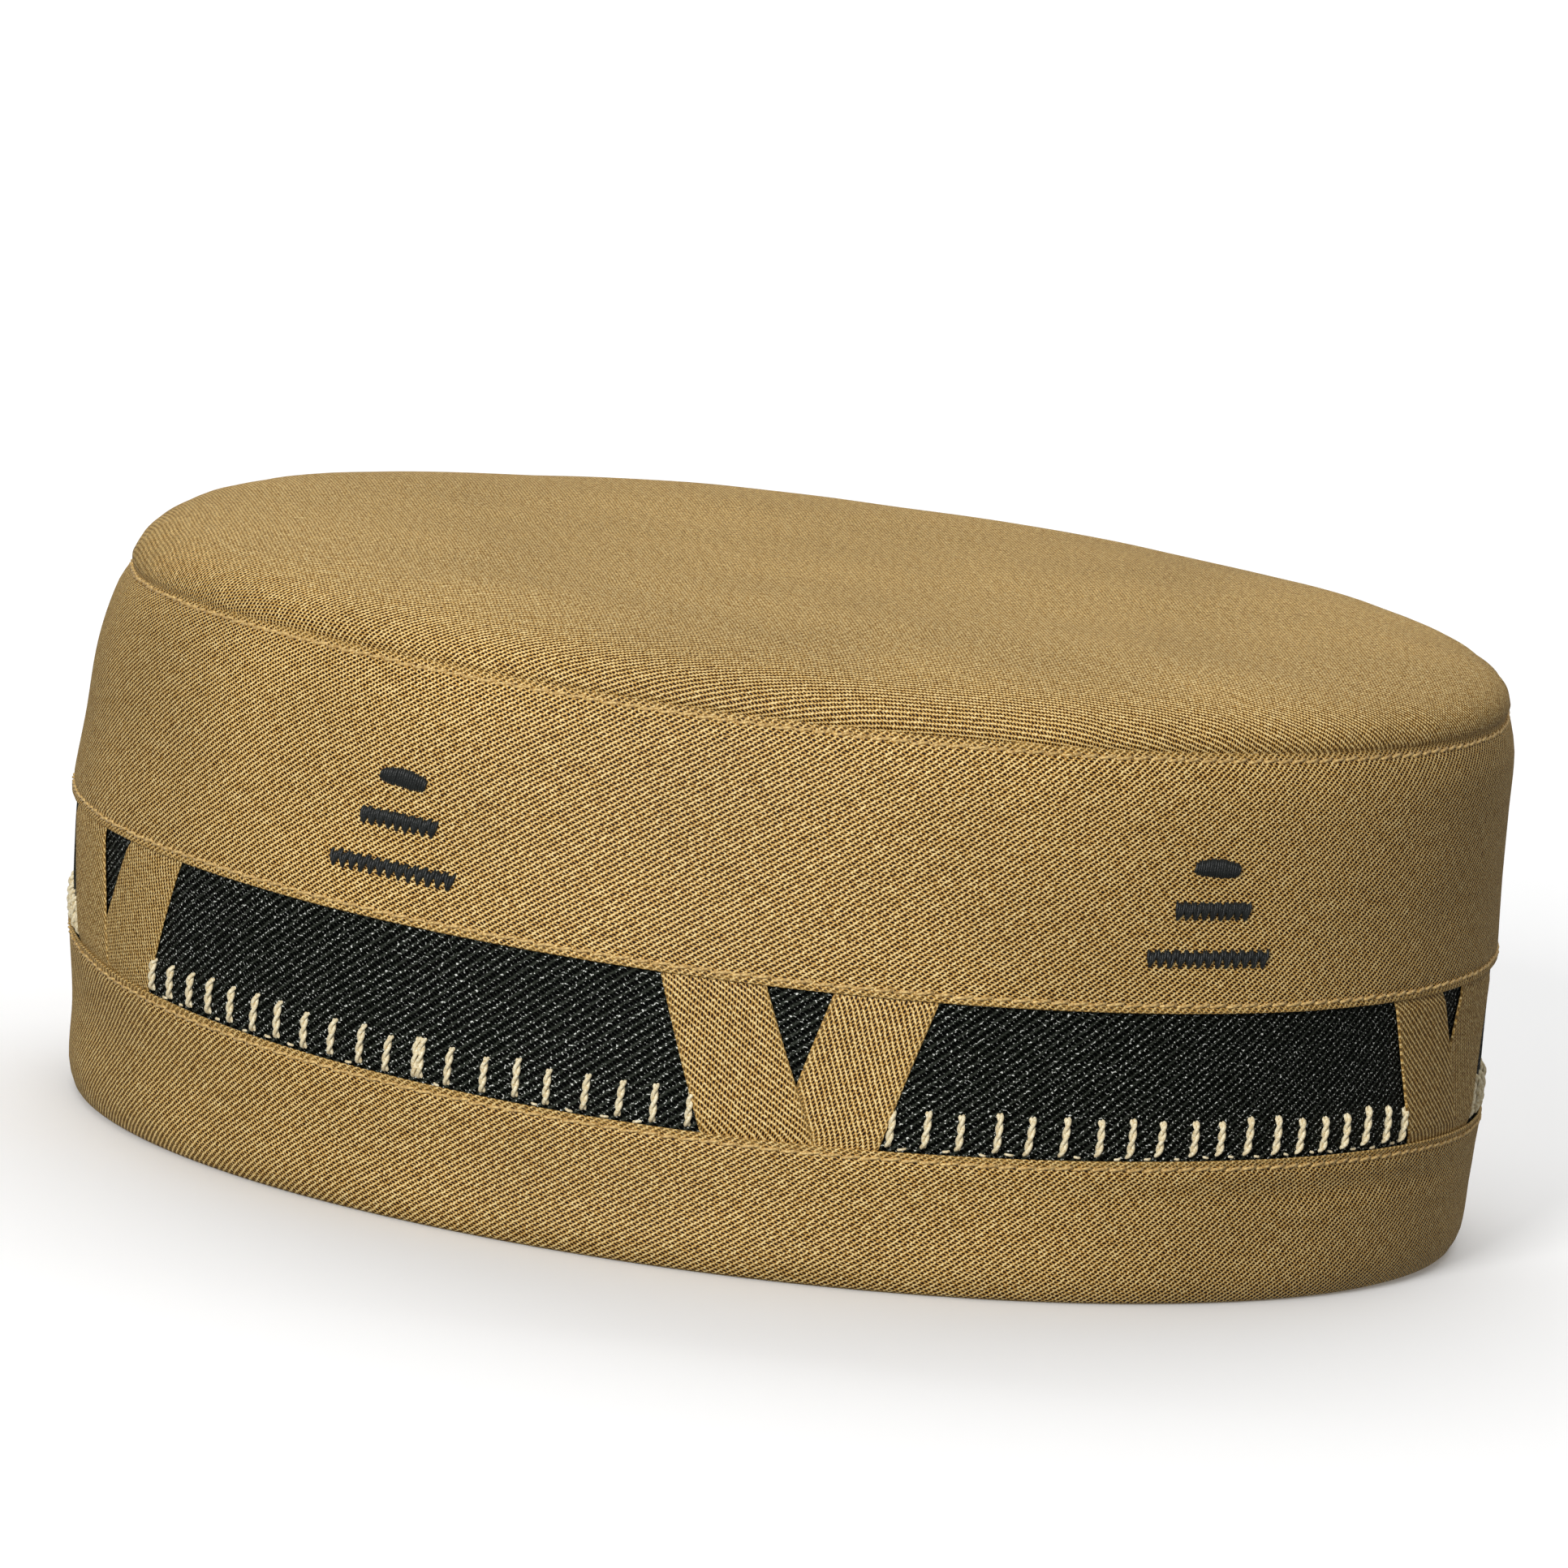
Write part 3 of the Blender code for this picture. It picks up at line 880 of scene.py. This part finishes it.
# %% Topstitching
def lay_thread(name, lines, radius, material, slot, closed=False, tips=1.0, sides=1):
    """Makes round threads along lines of points, as one mesh piece."""
    curve = bpy.data.curves.new(name, "CURVE")
    curve.dimensions = "3D"
    curve.bevel_depth, curve.bevel_resolution, curve.use_fill_caps = radius, sides, True
    for points in lines:
        spline = curve.splines.new("POLY")
        spline.points.add(len(points) - 1)
        for point, at in zip(spline.points, points):
            point.co = (*at, 1)
        spline.points[0].radius = spline.points[-1].radius = 1.0 if closed else tips
        spline.use_cyclic_u = closed
    made = bpy.data.objects.new(name, curve)
    bpy.context.scene.collection.objects.link(made)
    bpy.context.view_layer.update()
    mesh = bpy.data.meshes.new_from_object(made.evaluated_get(bpy.context.evaluated_depsgraph_get()))
    bpy.data.objects.remove(made)
    bm = bmesh.new()
    bm.from_mesh(mesh)
    bpy.data.meshes.remove(mesh)
    return make_piece(name, bm, material, slot)


STITCHES_ROUND = 230
STITCH_THREAD = 0.00022  # radius of the thread
STITCH_SLANT = 0.40      # rise of a stitch along its length, in mm
STITCH_RISE = (
    # share of a stitch, height above the cloth in mm
    (0.0, -0.30), (0.10, 0.04), (0.28, 0.17), (0.50, 0.21), (0.72, 0.17), (0.90, 0.04),
)
chance = random.Random(4)
for number, line in enumerate(TOPSTITCHES, start=1):
    points = []
    for stitch in range(STITCHES_ROUND):
        drift = chance.uniform(-0.07, 0.07) * MM
        for share, proud in STITCH_RISE:
            azimuth = math.tau * (stitch + share) / STITCHES_ROUND
            rise = (share - 0.5) * STITCH_SLANT * MM
            points.append(on_cloth(azimuth, line + drift + rise, proud * MM))
    lay_thread(f"topstitch_{number}", [points], STITCH_THREAD, tan_thread, "tan_twill", closed=True)

# %% [markdown]
# The upright cream stitches are the boldest thing on the dark band. Each is a thick thread of two
# plies, so it is drawn as two strands that turn round each other, and both of its ends go down
# through the cloth. They lean a few degrees to the right, and no two are the same length, because
# they are sewn by hand. One of the front ones was sewn twice.


# %% Cream stitches
RAISED, SUNK = 0.25, 0.80  # how far a stitch stands off the dark cloth and its ends go in, in mm


def two_plies(azimuth, low, high, lean, radius, turns):
    """Two strands that twist round each other along a short upright stitch."""
    strands = []
    for ply in (0, 1):
        points = []
        for i in range(15):
            share = i / 14
            swing = math.tau * turns * share + math.pi * ply
            height = low + (high - low) * share
            ends = (2 * share - 1) ** 6
            inset = DARK_INSET - RAISED * MM + SUNK * MM * ends
            across = azimuth + lean * (share - 0.5) - math.cos(swing) * radius / side_form(height)[0]
            points.append(on_side(across, height, inset - math.sin(swing) * radius))
        strands.append(points)
    return strands


SECTION_STITCHES = (20, 19, 20, 19, 20)  # stitches in each stretch between two Vs
SEWN_TWICE = (0, 11)     # stretch and stitch
PLY, PLY_SWING = 0.00030, 0.00025  # radius of a ply, and of its turn round the other
STITCH_ROW = 0.9         # share of the way down the dark band at which the stitches stand
AFTER_V, BEFORE_V = 0.30, 0.55  # degrees left free beside a ribbon
chance = random.Random(11)
strands, gaps = [], []
for number, count in enumerate(SECTION_STITCHES):
    middle, half_gap, _, right_width, *_, right_slant = VS[number]
    next_middle, next_gap, next_left, *_, next_slant, _ = VS[(number + 1) % len(VS)]
    start = middle + half_gap + right_width - right_slant * STITCH_ROW + AFTER_V
    stop = next_middle - next_gap - next_left + next_slant * STITCH_ROW - BEFORE_V
    if stop < start:
        stop += 360
    places = [
        start + (stop - start) * i / (count - 1) + chance.uniform(-0.18, 0.18) for i in range(count)
    ]
    for i, degrees in enumerate(places):
        low = HEM_EDGE + chance.uniform(0.25, 0.55) * MM
        high = low + chance.uniform(4.5, 5.2) * MM
        lean = math.radians(chance.uniform(0.16, 0.44))
        azimuths = [degrees - 0.22, degrees + 0.24] if (number, i) == SEWN_TWICE else [degrees]
        for azimuth in azimuths:
            strands += two_plies(math.radians(azimuth), low, high, lean, PLY_SWING, 1.5)
    gaps += list(zip(places, places[1:]))
lay_thread("cream_stitches", strands, PLY, cream_thread, "tan_twill", tips=0.7)

# %% [markdown]
# Between two upright stitches the same thread shows again as a short dash, where it runs along the
# hem band's fold on its way to the next one. Some dashes are hidden under the fold.

# %% Running dashes
HIDDEN_SHARE = 0.30      # of the dashes
DASH_THREAD = 0.00019
chance = random.Random(23)
dashes = []
for first, second in gaps:
    if chance.random() < HIDDEN_SHARE:
        continue
    middle = math.radians(first + (second - first) * chance.uniform(0.35, 0.65))
    half = chance.uniform(0.35, 0.75) * MM / SIDE_RADIUS
    height = HEM_EDGE + chance.uniform(0.12, 0.42) * MM
    rise = chance.uniform(-0.15, 0.15) * MM
    dashes.append([
        on_side(middle + half * x, height + rise * x, DARK_INSET + (0.55 * x * x - 0.1) * MM)
        for x in (-1, -0.6, 0, 0.6, 1)
    ])
lay_thread("running_dashes", dashes, DASH_THREAD, cream_thread, "tan_twill", tips=0.6)
print("Dashes:", len(dashes))

# %% [markdown]
# The embroidery is a small stack of three bars, worked by machine in satin stitch: threads side by
# side, each going from one edge of the bar to the other. The top bar is solid. In the lower two the
# ends of the threads are drawn together in points, which gives the bar its teeth. Each thread is its
# own short curve that rises in the middle, so the bar is padded, as real satin stitch is.


# %% Embroidered bars
BARS = (
    # height in metres, then in mm the width, half of the core and the length of the teeth, and
    # the number of teeth and of threads in each tooth
    (0.0578, 7.2, 1.28, 0.0, 5, 4),
    (0.0520, 12.0, 0.92, 0.55, 9, 4),
    (0.0456, 19.4, 0.60, 1.00, 13, 4),
)
SATIN_THREAD = 0.00023


def bar_threads(azimuth, row, chance):
    """The satin threads of one bar, each as a line of points."""
    height, width, core, tooth, teeth, per_tooth = row
    pitch = width / teeth
    lines = []
    for i in range(teeth * per_tooth):
        x = (i + 0.5) / per_tooth * pitch - width / 2
        share = (i % per_tooth + 0.5) / per_tooth
        peak = 1 - abs(2 * share - 1)
        # The lower end of a thread is drawn towards the middle of its tooth
        towards = (0.5 - share) * pitch * (0.75 if tooth else 0.0)
        side = max(1 - (2 * x / width) ** 2, 0.0)
        limit = core * (side ** 0.25 if not tooth else 1.0)
        high = limit + tooth * 0.75 * (1 - peak) + chance.uniform(-0.07, 0.07)
        low = -limit - tooth * peak - chance.uniform(-0.07, 0.07)
        if not tooth and x > 0:  # the right half of the top bar hangs a little
            low -= 0.12 * x
            high -= 0.10 * x
        shift = chance.uniform(-0.06, 0.06)
        points = []
        for k in range(7):
            way = k / 6
            y = high + (low - high) * way
            drawn = towards * max(2 * way - 1, 0.0) + 0.25 * (0.5 - way) + shift
            proud = 0.34 * (1 - (2 * way - 1) ** 4) - 0.12
            across = azimuth + (x + drawn) * MM / SIDE_RADIUS
            points.append(on_cloth(across, height + y * MM, proud * MM))
        lines.append(points)
    return lines


for number, (degrees, lift) in enumerate(MOTIFS, start=1):
    chance = random.Random(40 + number)
    bars = [(row[0] + lift * MM, *row[1:]) for row in BARS]
    lines = [line for bar in bars for line in bar_threads(math.radians(degrees), bar, chance)]
    lay_thread(
        f"embroidered_bars_{number}", lines, SATIN_THREAD, charcoal_thread, "dark_twill", tips=0.55,
    )
